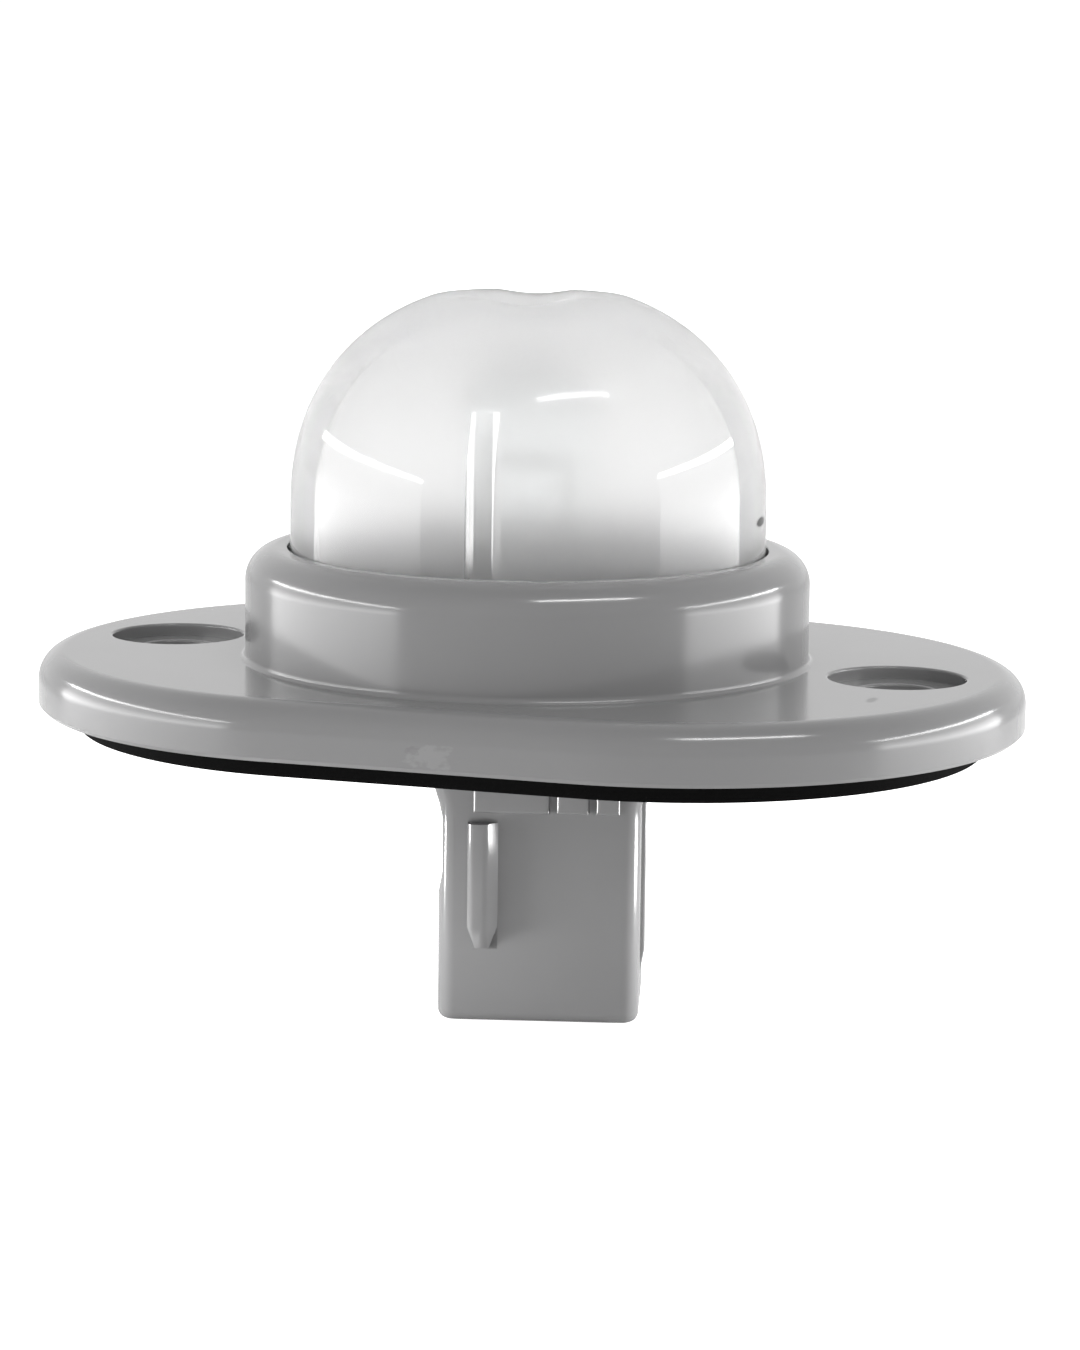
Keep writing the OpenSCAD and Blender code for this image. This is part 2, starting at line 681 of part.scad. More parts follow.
housing();
flange_gasket();
lens();
lens_seal();
bulb_holder();
left_contact();
right_contact();
bulb_glass();
left_lead_wire();
right_lead_wire();
filament();
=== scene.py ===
from math import cos, pi, radians, sin

import bmesh
import bpy
import numpy as np
from mathutils import Matrix, Vector
from mathutils.geometry import tessellate_polygon


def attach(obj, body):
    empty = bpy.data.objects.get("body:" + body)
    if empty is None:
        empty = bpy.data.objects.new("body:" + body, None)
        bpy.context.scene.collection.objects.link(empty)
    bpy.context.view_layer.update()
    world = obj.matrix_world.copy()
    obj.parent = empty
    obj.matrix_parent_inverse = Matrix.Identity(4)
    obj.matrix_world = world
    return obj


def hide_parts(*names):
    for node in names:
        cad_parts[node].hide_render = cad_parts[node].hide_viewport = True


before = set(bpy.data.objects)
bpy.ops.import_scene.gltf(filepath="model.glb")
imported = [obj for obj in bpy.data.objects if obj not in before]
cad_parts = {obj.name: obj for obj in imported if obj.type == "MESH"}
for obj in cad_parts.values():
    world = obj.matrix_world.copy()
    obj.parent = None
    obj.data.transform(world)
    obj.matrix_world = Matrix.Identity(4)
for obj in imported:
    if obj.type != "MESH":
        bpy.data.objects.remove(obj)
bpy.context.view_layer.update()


# Housing: flange, collar and bulb cup are one glossy grey moulding, made in a steel mould whose edges are
# rounded so that it lets go. Two screws go through the recesses. Lengths here and below are in millimetres
# until a piece is made, and mm is one of them in metres.
mm = 0.001
flange_under, flange_top, flange_r, flange_half = 1.5, 5.5, 25.0, 10.75
flange_round, flange_chamfer = 2.0, 0.3
screw_x, screw_r, recess_r, recess_floor, rim_round = 27.0, 2.7, 4.8, 4.6, 0.18
collar_r, collar_top, collar_round, collar_foot = 20.15, 13.35, 2.3, 0.4
bore_r, bore_round, seat_height, cup_r, cup_floor = 17.15, 0.1, 7.5, 14.55, 3.5
groove_height, groove_half, groove_depth = 10.1, 0.9, 0.35
# The prising notch in the collar's inner edge, and how far its rim lies below the collar's top, row by row
# from its outer end inwards
notch_turn, notch_half, notch_floor, notch_reach = radians(20 - 90), 0.65, 12.15, 0.9
notch_drops = np.array([0.04, 0.04, 0.05, 0.08, 0.12])
# A narrow flat strip beside each rounded edge keeps the shading of the flat face beyond it level
strip = 0.1
# Points nearer to each other than this are one point
merge_gap = 0.002
hole_angles = np.linspace(0, 2 * pi, 64, endpoint=False)


def arc(r, z, radius, start, end, steps=20):
    """Points on a circle of the given radius about (r, z), from one angle in degrees to another. With a
    negative radius they lie on the circle's other side."""
    a = np.radians(np.linspace(start, end, steps + 1))
    return np.stack([r + radius * np.cos(a), z + radius * np.sin(a)], axis=1)


def loft(rows):
    """Skin over rows of points shaped (rows, columns, 3). Each square of four neighbours is a face, and the
    last column joins the first. Columns run anticlockwise and rows run up the outside, so the faces point
    outwards."""
    m, n = rows.shape[:2]
    i, j = np.indices((m - 1, n))
    k = (j + 1) % n
    quads = np.stack([i * n + j, i * n + k, (i + 1) * n + k, (i + 1) * n + j], axis=-1)
    return rows.reshape(-1, 3), quads.reshape(-1, 4)


def revolved(profile, angles, x=0.0):
    """Rows of a profile of (radius, height) turned about an upright axis at x: (x + r cos a, r sin a, z)."""
    r, z = profile[:, 0, None], profile[:, 1, None]
    return np.stack(np.broadcast_arrays(x + r * np.cos(angles), r * np.sin(angles), z), axis=-1)


def capsule(radius, steps=96):
    """Two half circles of the given radius about the ends of the flange's straight middle, joined by its
    long sides."""
    a = np.linspace(-pi / 2, pi / 2, steps + 1)
    end = np.stack([flange_half + radius * np.cos(a), radius * np.sin(a)], axis=1)
    return np.concatenate([end, -end])


def screw_circles(radius):
    """Circle of the given radius about each screw: (x of the screw + radius cos a, radius sin a)."""
    circle = np.stack([radius * np.cos(hole_angles), radius * np.sin(hole_angles)], axis=1)
    return [circle + [side * screw_x, 0] for side in (-1, 1)]


def level(points, z):
    """The outline's points, all at one height."""
    return np.column_stack([points, np.full(len(points), z)])


def flat_face(height, facing, *outlines):
    """Level face between an outer outline and the holes inside it, in triangles over the outlines' own
    points. Seen from above, they run anticlockwise when it faces up (1) and clockwise when it faces down
    (-1)."""
    points = np.concatenate(outlines)
    net = np.array(tessellate_polygon([[(x, y, 0.0) for x, y in line] for line in outlines]))
    a, b, c = points[net].transpose(1, 0, 2)
    area = (b[:, 0] - a[:, 0]) * (c[:, 1] - a[:, 1]) - (b[:, 1] - a[:, 1]) * (c[:, 0] - a[:, 0])
    wrong = area * facing < 0
    net[wrong] = net[wrong][:, ::-1]
    return level(points, height), net


def make_piece(name, skins, sharp=32):
    """One object from several skins, brought from millimetres to metres and merged where they meet. It is
    smooth, apart from edges that bend by more than the given angle in degrees."""
    starts = np.cumsum([0] + [len(points) for points, _ in skins])
    faces = [face for (_, part), start in zip(skins, starts) for face in (part + start).tolist()]
    mesh = bpy.data.meshes.new(name)
    mesh.from_pydata(np.concatenate([points for points, _ in skins]) * mm, [], faces)
    work = bmesh.new()
    work.from_mesh(mesh)
    bmesh.ops.remove_doubles(work, verts=work.verts, dist=merge_gap * mm)
    work.to_mesh(mesh)
    work.free()
    mesh.polygons.foreach_set("use_smooth", np.ones(len(mesh.polygons), dtype=bool))
    mesh.set_sharp_from_angle(angle=radians(sharp))
    piece = bpy.data.objects.new(name, mesh)
    bpy.context.scene.collection.objects.link(piece)
    return piece


def group(name, inputs, outputs):
    """Empty shader node group with a position, then float inputs with their usual values, and the named
    outputs."""
    tree = bpy.data.node_groups.new(name, "ShaderNodeTree")
    tree.interface.new_socket("Position", in_out="INPUT", socket_type="NodeSocketVector")
    for label, value in inputs.items():
        socket = tree.interface.new_socket(label, in_out="INPUT", socket_type="NodeSocketFloat")
        socket.default_value = value
    for label in outputs:
        tree.interface.new_socket(label, in_out="OUTPUT", socket_type="NodeSocketFloat")
    return tree, tree.nodes.new("NodeGroupInput").outputs, tree.nodes.new("NodeGroupOutput").inputs


def node(tree, kind, links=(), **settings):
    """A shader node with its settings, and its inputs linked or set by name or number."""
    made = tree.nodes.new(kind)
    for key, value in settings.items():
        setattr(made, key, value)
    for key, value in dict(links).items():
        if isinstance(value, bpy.types.NodeSocket):
            tree.links.new(value, made.inputs[key])
        else:
            made.inputs[key].default_value = value
    return made


def maths(tree, operation, first, second=0.0):
    """Sum, product or other operation on two values, each a socket or a number."""
    return node(tree, "ShaderNodeMath", {0: first, 1: second}, operation=operation).outputs[0]


def ramp(tree, value, start, end, at_start, at_end):
    """Value that goes evenly from at_start to at_end while the given one goes from start to end, and is
    level before and after."""
    ends = {"Value": value, "From Min": start, "From Max": end, "To Min": at_start, "To Max": at_end}
    return node(tree, "ShaderNodeMapRange", ends).outputs[0]


def noise(tree, position, waves, detail=3.0, stretch=(1, 1, 1)):
    """Noise between 0 and 1 on a position, with that many waves to its unit, stretched along its axes."""
    place = node(tree, "ShaderNodeMapping", {"Vector": position, "Scale": stretch}).outputs[0]
    return node(tree, "ShaderNodeTexNoise", {"Vector": place, "Scale": waves, "Detail": detail}).outputs[0]


# Shared by all pieces: fine grain in the height, cloudy handling in the roughness and a few short hairline
# scratches. Waves are counted to the metre. A scratch begins where the hair noise reaches the first limit and
# is at its deepest from the second one on.
cloud_waves, hair_waves, hair_stretch = 120.0, 700.0, (0.08, 1.0, 1.0)
hair_starts, hair_full, scratch_dulling = 0.70, 0.76, 0.3
surface_marks, given, out = group(
    "surface_marks",
    {"Grain waves": 900.0, "Grain": 0.5, "Roughness": 0.3, "Clouding": 0.1, "Scratches": 0.1},
    ("Roughness", "Height", "Shade"))
grain = noise(surface_marks, given["Position"], given["Grain waves"], detail=4.0)
grain = maths(surface_marks, "MULTIPLY", grain, given["Grain"])
cloud = noise(surface_marks, given["Position"], cloud_waves)
hair = noise(surface_marks, given["Position"], hair_waves, detail=1.0, stretch=hair_stretch)
scratch = ramp(surface_marks, hair, hair_starts, hair_full, 0.0, 1.0)
scratch = maths(surface_marks, "MULTIPLY", scratch, given["Scratches"])
clouding = maths(surface_marks, "MULTIPLY", maths(surface_marks, "SUBTRACT", cloud, 0.5), given["Clouding"])
dulling = maths(surface_marks, "MULTIPLY", scratch, scratch_dulling)
rough = maths(surface_marks, "ADD", maths(surface_marks, "ADD", given["Roughness"], clouding), dulling)
surface_marks.links.new(rough, out["Roughness"])
surface_marks.links.new(maths(surface_marks, "SUBTRACT", grain, scratch), out["Height"])
surface_marks.links.new(cloud, out["Shade"])
# A stain or painted shadow is whole up to the first distance from its centre and gone at the second, both
# in its half sizes
mark_whole, mark_gone, patch_waves = 0.7, 1.1, 1.6


def stained_and_shaded(tree, place, colour, stains_and_shadows):
    """The colour, turned towards each mark's grey inside an ellipsoid round the mark's centre. Marks are
    stains and painted shadows; each is its centre and half sizes in millimetres, its grey, its strength and
    how uneven it is."""
    for centre, half, grey, strength, uneven in stains_and_shadows:
        offset = node(tree, "ShaderNodeVectorMath", {0: place, 1: Vector(centre) * mm}, operation="SUBTRACT")
        scaled = node(tree, "ShaderNodeVectorMath", {0: offset.outputs[0], 1: Vector(half) * mm},
                      operation="DIVIDE").outputs[0]
        away = node(tree, "ShaderNodeVectorMath", {0: scaled}, operation="LENGTH").outputs["Value"]
        patchy = maths(tree, "SUBTRACT", noise(tree, scaled, patch_waves), 0.5)
        away = maths(tree, "ADD", away, maths(tree, "MULTIPLY", patchy, uneven))
        mask = ramp(tree, away, mark_whole, mark_gone, strength, 0.0)
        tone = node(tree, "ShaderNodeMix", {0: mask, 6: colour, 7: (grey, grey, grey, 1)}, data_type="RGBA")
        colour = tone.outputs[2]
    return colour


def finish(name, colour, marks, bump, shade=0.04, stains_and_shadows=(), **principled):
    """Material with the shared surface marks and its own stains and painted shadows. Its colour varies a
    little with the marks, by the factor shade, and its bump is that many millimetres deep. Further Principled
    values are given by name."""
    material = bpy.data.materials.new(name)
    material.use_nodes = True
    tree = material.node_tree
    shader = tree.nodes["Principled BSDF"]
    place = node(tree, "ShaderNodeTexCoord").outputs["Object"]
    surface = node(tree, "ShaderNodeGroup", {"Position": place, **marks}, node_tree=surface_marks).outputs
    darker = [c * (1 - shade) for c in colour] + [1]
    lighter = [min(1, c * (1 + shade)) for c in colour] + [1]
    tone = node(tree, "ShaderNodeMix", {0: surface["Shade"], 6: darker, 7: lighter}, data_type="RGBA")
    relief = node(tree, "ShaderNodeBump",
                  {"Height": surface["Height"], "Distance": bump * mm, "Strength": 1.0})
    tree.links.new(stained_and_shaded(tree, place, tone.outputs[2], stains_and_shadows), shader.inputs["Base Color"])
    tree.links.new(surface["Roughness"], shader.inputs["Roughness"])
    tree.links.new(relief.outputs[0], shader.inputs["Normal"])
    for label, value in principled.items():
        shader.inputs[label.replace("_", " ").title().replace("Ior", "IOR")].default_value = value
    return material


# Flange's edge, from its flat underside over the chamfer and the upright side to the round top edge
edge_profile = np.concatenate([
    [[flange_r - flange_chamfer - strip, flange_under], [flange_r - flange_chamfer, flange_under]],
    [[flange_r, flange_under + flange_chamfer], [flange_r, flange_under + flange_chamfer + strip]],
    [[flange_r, flange_top - flange_round - strip]],
    arc(flange_r - flange_round, flange_top - flange_round, flange_round, 0, 90, steps=28),
    [[flange_r - flange_round - strip, flange_top]]])
edge_rows = np.stack([level(capsule(r), z) for r, z in edge_profile])

# Screw hole, from the flange's top over the recess's rim and floor and down the hole
hole_profile = np.concatenate([
    [[recess_r + rim_round + strip, flange_top]],
    arc(recess_r + rim_round, flange_top - rim_round, -rim_round, -90, 0, steps=5),
    [[recess_r, recess_floor + strip], [recess_r, recess_floor]],
    [[screw_r + rim_round + strip, recess_floor]],
    arc(screw_r + rim_round, recess_floor - rim_round, -rim_round, -90, 0, steps=5),
    [[screw_r, flange_under + strip], [screw_r, flange_under]]])

# Collar, from the flange's top over the foot's fillet and the round top edge, down the bore to the cup's
# floor
outside = np.concatenate([
    [[collar_r + collar_foot + strip, flange_top]],
    arc(collar_r + collar_foot, flange_top + collar_foot, collar_foot, 270, 180, steps=8),
    [[collar_r, flange_top + collar_foot + strip], [collar_r, collar_top - collar_round - strip]],
    arc(collar_r - collar_round, collar_top - collar_round, collar_round, 0, 90, steps=32),
    [[collar_r - collar_round - strip, collar_top]]])
rim = np.concatenate([
    [[bore_r + bore_round + strip, collar_top]],
    arc(bore_r + bore_round, collar_top - bore_round, bore_round, 90, 180, steps=3),
    [[bore_r, notch_floor + strip]]])
notch_rim = rim.copy()
notch_rim[:, 0] += notch_reach
notch_rim[:-1, 1] = collar_top - notch_drops
notch_rim[-1, 1] = notch_floor
inside = np.array([
    [bore_r, notch_floor], [bore_r, groove_height + groove_half], [bore_r + groove_depth, groove_height],
    [bore_r, groove_height - groove_half], [bore_r, seat_height], [cup_r, seat_height], [cup_r, cup_floor],
    [0.0, cup_floor]])

# Columns round the collar: even, with more of them across the prising notch. The notch's own columns take
# nearly all of its width, so that a close pair at each side makes its walls steep.
collar_columns, notch_columns, notch_share = 184, 7, 0.999
notch_edge = notch_half / bore_r
even = notch_turn + np.linspace(notch_edge, 2 * pi - notch_edge, collar_columns)
across = notch_turn + notch_edge * np.linspace(-notch_share, notch_share, notch_columns)
around = np.concatenate([even, across + 2 * pi])
in_notch = np.arange(len(around)) >= collar_columns
rim_rows = np.where(in_notch[:, None], revolved(notch_rim, around), revolved(rim, around))
collar_rows = np.concatenate([revolved(outside, around), rim_rows, revolved(inside, around)])
foot_outline = collar_rows[0, :, :2]

housing_skins = [
    loft(edge_rows),
    flat_face(flange_top, 1, capsule(edge_profile[-1, 0]), foot_outline, *screw_circles(hole_profile[0, 0])),
    flat_face(flange_under, -1, capsule(edge_profile[0, 0]), *screw_circles(screw_r)),
    loft(collar_rows)]
for side in (-1, 1):
    housing_skins.append(loft(revolved(hole_profile, hole_angles, side * screw_x)))
housing = make_piece("housing_moulding", housing_skins)
# A dark speck lies on the flange's top at the right, and the front of its edge is scuffed. A darker patch
# beside the scuff is painted shadow.
flange_speck = ((27.2, -9.4, 5.5), (0.36, 1.1, 0.3), 0.0, 1.0, 0.2)
wide_scuff = ((1.2, -25.0, 2.6), (1.5, 0.5, 0.8), 0.24, 0.35, 3.0)
# Painted shadow: a darker patch in the colour beside the scuff, standing in for its shade
scuff_painted_shadow = ((0.0, -25.0, 3.0), (0.5, 0.5, 0.3), 0.12, 0.4, 2.0)
grey_plastic = finish(
    "glossy_grey_plastic", (0.168, 0.168, 0.169),
    {"Grain waves": 1400.0, "Grain": 0.35, "Roughness": 0.16, "Clouding": 0.08, "Scratches": 0.06}, 0.004,
    stains_and_shadows=(flange_speck, wide_scuff, scuff_painted_shadow), ior=1.5)
housing.data.materials.append(grey_plastic)
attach(housing, "root")
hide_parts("housing")


# Connector: the lower half of the same moulding. A keyed shroud takes the harness plug round two tabs. It is
# turned 14 degrees against the flange and stands a little to one side of the bulb, whose holder sits in the
# boss above it.
connector_turn = radians(14)
shroud_x, shroud_w, shroud_d, shroud_r, shroud_wall = 1.3, 14.4, 10.6, 1.2, 1.4
shroud_mouth, mouth_round, socket_roof, socket_r, socket_chamfer = -20.3, 0.7, -5.8, 0.5, 0.15
root_flare, root_low, root_high = 0.35, -4.6, -3.3
relief_depth, relief_low, relief_ramp = 0.3, -11.0, 1.5
boss_w, boss_d, boss_r, boss_low = 14.2, 9.3, 1.5, -2.24
ledge_h, ledge_low, ledge_round = 0.8, -4.9, 0.25
ledge_spans = ((-4.65, 0.75), (1.25, 3.55), (4.05, 5.75))
key_w, key_crest, key_draft, key_ramp, key_corner = 2.2, 1.4, 0.1, 1.7, 0.6
key_x, front_key_h, front_key_low, front_key_high = -4.0, 1.0, -14.9, -5.7
side_key_h, side_key_low = 0.3, -17.5
# Roundings of a key rib's left and right edge, as shares of its height
left_key_round, right_key_round = 0.5, 0.6
# Depth to which a rib or ledge is let into the wall that carries it, and the boss into the flange
rooted, boss_rooted = 0.2, 1.0


def rounded(corners, radii, steps=6):
    """Convex outline with an arc in place of each corner: the arc has the corner's radius and touches both
    sides. Its centre lies on the line that halves the corner's angle, radius / sin(half the angle) away from
    the corner."""
    corners, r = np.array(corners, float), np.broadcast_to(radii, len(corners))[:, None]
    back, on = np.roll(corners, 1, axis=0) - corners, np.roll(corners, -1, axis=0) - corners
    back /= np.linalg.norm(back, axis=1, keepdims=True)
    on /= np.linalg.norm(on, axis=1, keepdims=True)
    half = np.arccos((back * on).sum(axis=1, keepdims=True)) / 2
    centre = corners + (back + on) / np.linalg.norm(back + on, axis=1, keepdims=True) * r / np.sin(half)
    start, end = corners + back * r / np.tan(half) - centre, corners + on * r / np.tan(half) - centre
    t, sweep = np.linspace(0, 1, steps + 1)[None, :, None], (pi - 2 * half)[:, None]
    bow = (np.sin((1 - t) * sweep) * start[:, None] + np.sin(t * sweep) * end[:, None]) / np.sin(sweep)
    return (centre[:, None] + bow).reshape(-1, 2)


def rectangle(w, d, r):
    """Rectangle about the origin, with round corners."""
    return rounded([[w / 2, d / 2], [-w / 2, d / 2], [-w / 2, -d / 2], [w / 2, -d / 2]], r)


def closed(outlines):
    """Rows for a loft: the outlines, closed by a point at the middle of the first and of the last one."""
    ends = [np.broadcast_to(row.mean(axis=0), row.shape) for row in (outlines[0], outlines[-1])]
    return np.stack([ends[0], *outlines, ends[1]])


def turned(skin, angle):
    """The skin turned by the angle about the upright axis: (x cos a - y sin a, x sin a + y cos a, z)."""
    points, faces = skin
    x, y, z = points.T
    return np.stack([x * cos(angle) - y * sin(angle), x * sin(angle) + y * cos(angle), z], axis=1), faces


def quarter(radius, steps=6):
    """Insets and heights of a rounded lower edge: radius * (1 - sin t) and radius * (1 - cos t)."""
    t = np.linspace(0, pi / 2, steps + 1)
    return zip(radius * (1 - np.sin(t)), radius * (1 - np.cos(t)))


def key_rib(height, low, high):
    """Rib that faces -y, steep at its left and sloped at its right. Over its ramp it rises from the wall
    while its lower left corner comes out to full width."""
    left, right = -key_w / 2, key_w / 2
    corners = [[right, rooted], [left, rooted], [left + key_draft, -height], [left + key_crest, -height],
               [right, 0.0]]
    section = rounded(corners, [0.0, 0.0, left_key_round * height, right_key_round * height, 0.0])
    foot = np.stack([np.maximum(section[:, 0], left + key_corner), np.maximum(section[:, 1], 0)], axis=1)
    return closed([level(foot, low), level(section, low + key_ramp), level(section, high)])


def ledge_block(left, right):
    """Block that faces -y under the flange, with round upright edges and a round lower edge."""
    corners = [[right, rooted], [left, rooted], [left, -ledge_h], [right, -ledge_h]]
    section = rounded(corners, [0.0, 0.0, ledge_round, ledge_round])
    rows = []
    for inset, rise in quarter(ledge_round):
        front = np.maximum(section[:, 1], inset - ledge_h)
        rows.append(level(np.stack([section[:, 0], front], axis=1), ledge_low + rise))
    return closed(rows + [level(section, boss_low)])


# Shroud, from the socket's roof down to its mouth, round the mouth's edge and up the outside to the boss
shroud_outline = rectangle(shroud_w, shroud_d, shroud_r)
relieved_side = np.maximum(shroud_outline[:, 0], relief_depth - shroud_w / 2)
relieved = np.stack([relieved_side, shroud_outline[:, 1]], axis=1)
flared = rectangle(shroud_w + 2 * root_flare, shroud_d + 2 * root_flare, shroud_r)
socket_w, socket_d = shroud_w - 2 * shroud_wall, shroud_d - 2 * shroud_wall
socket = rectangle(socket_w, socket_d, socket_r)
socket_mouth = rectangle(socket_w + 2 * socket_chamfer, socket_d + 2 * socket_chamfer, socket_r)
mouth_edge = [
    level(rectangle(shroud_w - 2 * inset, shroud_d - 2 * inset, shroud_r - inset), shroud_mouth + rise)
    for inset, rise in quarter(mouth_round, steps=10)]
relief_high = root_low - relief_depth * (root_high - root_low) / root_flare
shroud = closed([
    level(socket, socket_roof), level(socket, shroud_mouth + socket_chamfer),
    level(socket_mouth, shroud_mouth), *mouth_edge, level(shroud_outline, relief_low),
    level(relieved, relief_low + relief_ramp), level(relieved, relief_high),
    level(shroud_outline, root_low), level(flared, root_high), level(flared, boss_low + rooted)])

boss_outline = rectangle(boss_w, boss_d, boss_r)
boss = closed([level(boss_outline, boss_low), level(boss_outline, flange_under + boss_rooted)])
front_key = key_rib(front_key_h, front_key_low, front_key_high)
side_key = key_rib(side_key_h, side_key_low, boss_low)
side_key = np.stack([-side_key[..., 1], side_key[..., 0], side_key[..., 2]], axis=-1)
parts = [shroud + [shroud_x, 0, 0], boss, side_key + [shroud_x + shroud_w / 2, 0, 0],
         front_key + [shroud_x + key_x, -shroud_d / 2, 0]]
parts += [ledge_block(*span) + [shroud_x, -shroud_d / 2, 0] for span in ledge_spans]
connector = make_piece("connector_moulding", [turned(loft(rows), connector_turn) for rows in parts])
connector.data.materials.append(grey_plastic)
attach(connector, "root")
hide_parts("housing")


# Lens: one clear, slightly milky acrylic dome that snaps into the collar by a low bead. It has an even wall,
# a shallow channel across its crown and one upright rib inside its front, left by the mould.
lens_r, lens_wall, lens_low, skirt_top = 16.95, 1.9, 8.5, 16.35
crown_rise, crown_flat, crown_power, crown_soft = 15.85, 31.35, 2.22, 0.22
bead_height, bead_half, bead_h = 10.1, 0.6, 0.35
channel_w, channel_depth = 5.0, 0.4
rib_turn, rib_half, rib_face, rib_top = radians(4.8 - 90), 0.95, 13.05, 24.6
even_columns = np.linspace(0, 1, 190)
face_columns = np.linspace(-1, 1, 9)
# Share of the rib's width that the face columns take on the outside, and the radius that counts as the axis
outer_share, on_axis = 0.8, 0.001


def soft_min(a, b, soft):
    """The smaller of two heights, with the crease between them rounded over the given distance."""
    h = np.clip(0.5 + 0.5 * (b - a) / soft, 0, 1)
    return b * (1 - h) + a * h - soft * h * (1 - h)


def dome_profile(radius, rise, steps=72):
    """Superellipse from the skirt's top to the axis: (r / radius)^p + (z / rise)^p = 1."""
    t = np.linspace(0, pi / 2, steps + 1)
    bend = 2 / crown_power
    return np.stack([radius * np.abs(np.cos(t)) ** bend, skirt_top + rise * np.sin(t) ** bend], axis=1)


def inner_rows(profile):
    """Rows of the wall's inside. Across the rib's width each row steps in to the rib's flat face, as long as
    the wall lies beyond it; elsewhere it is round."""
    r, z = profile[:, 0, None], profile[:, 1, None]
    half = rib_half * np.minimum(1, r / rib_face)
    edge = np.where(r > on_axis, np.arcsin(half / np.maximum(r, on_axis)), rib_half / rib_face)
    a = edge + (2 * pi - 2 * edge) * even_columns
    across = face_columns * half
    along = np.minimum(rib_face, np.sqrt(np.maximum(r * r - across * across, 0)))
    p = np.concatenate([r * np.cos(a), along], axis=1)
    q = np.concatenate([r * np.sin(a), across], axis=1)
    return np.stack([p, q, np.broadcast_to(z, p.shape)], axis=-1)


def outer_rows(profile):
    """Rows of the outside: the profile turned about the axis. Its height is the lowest of the dome, the flat
    crown and the underside of a cylinder that lies across it."""
    edge = rib_half / (lens_r - lens_wall)
    a = np.concatenate([edge + (2 * pi - 2 * edge) * even_columns, outer_share * edge * face_columns])
    rows = revolved(profile, a)
    channel_r = (channel_w ** 2 / 4 + channel_depth ** 2) / (2 * channel_depth)
    channel_turn = connector_turn - rib_turn
    side = rows[..., 0] * cos(channel_turn) + rows[..., 1] * sin(channel_turn)
    channel = crown_flat - channel_depth + channel_r - np.sqrt(np.maximum(channel_r ** 2 - side ** 2, 0))
    channel = np.where(np.abs(side) < channel_r, channel, crown_flat + channel_r)
    rows[..., 2] = soft_min(soft_min(rows[..., 2], crown_flat, crown_soft), channel, crown_soft)
    return rows


inner_r = lens_r - lens_wall
inner_dome = dome_profile(inner_r, crown_rise - lens_wall)
inner_dome[:, 1] = soft_min(inner_dome[:, 1], crown_flat - lens_wall, crown_soft)
inner_profile = np.concatenate([inner_dome[::-1], [[inner_r, skirt_top - strip], [inner_r, lens_low]]])
outer_profile = np.concatenate([
    [[lens_r, lens_low], [lens_r, bead_height - bead_half], [lens_r + bead_h, bead_height],
     [lens_r, bead_height + bead_half], [lens_r, skirt_top - strip]],
    dome_profile(lens_r, crown_rise)])
lens_skin = loft(np.concatenate([inner_rows(inner_profile), outer_rows(outer_profile)]))
lens = make_piece("lens_dome", [turned(lens_skin, rib_turn)])
# The outside is clear, with one dark speck at the right
lens_speck = ((16.95, 0.4, 15.9), (0.8, 1.5, 0.4), 0.0, 1.0, 0.3)
clear_acrylic = finish(
    "clear_acrylic", (0.86, 0.86, 0.86),
    {"Grain waves": 300.0, "Grain": 0.3, "Roughness": 0.05, "Clouding": 0.04, "Scratches": 0.05}, 0.001,
    shade=0.01, stains_and_shadows=(lens_speck,), transmission_weight=0.88, ior=1.3)
# Its crown is dull. A grain too fine to see lifts the height by up to 14 mm before it is compared with the
# two heights between which the dullness sets in, so that it sets in without a line
dull_starts, dull_full, dull_most = crown_flat + 0.8, crown_flat + 4.5, 0.45
lift, lift_waves = 14.0, 60000.0
crown_tree = clear_acrylic.node_tree
crown_place = node(crown_tree, "ShaderNodeTexCoord").outputs["Object"]
crown_height = node(crown_tree, "ShaderNodeSeparateXYZ", {0: crown_place}).outputs["Z"]
lifted = maths(crown_tree, "MULTIPLY", noise(crown_tree, crown_place, lift_waves, detail=0.0), lift * mm)
lifted = maths(crown_tree, "ADD", crown_height, lifted)
dullness = ramp(crown_tree, lifted, dull_starts * mm, dull_full * mm, 0.0, dull_most)
polish = crown_tree.nodes["Principled BSDF"].inputs["Roughness"]
crown_tree.links.new(maths(crown_tree, "ADD", polish.links[0].from_socket, dullness), polish)
frosted_acrylic = finish(
    "frosted_acrylic", (0.98, 0.98, 0.98),
    {"Grain waves": 900.0, "Grain": 0.4, "Roughness": 0.46, "Clouding": 0.06, "Scratches": 0.0}, 0.003,
    shade=0.01, transmission_weight=0.74, ior=1.3)
# Painted glint: a white mirror finish that stands in for the light the clear rib's rounded corners turn back
glint_mirror_paint = finish(
    "bright_rib_edge", (0.95, 0.95, 0.95),
    {"Grain waves": 900.0, "Grain": 0.4, "Roughness": 0.35, "Clouding": 0.06, "Scratches": 0.0}, 0.003,
    shade=0.01, metallic=1.0)
lens.data.materials.append(clear_acrylic)
lens.data.materials.append(frosted_acrylic)
lens.data.materials.append(glint_mirror_paint)
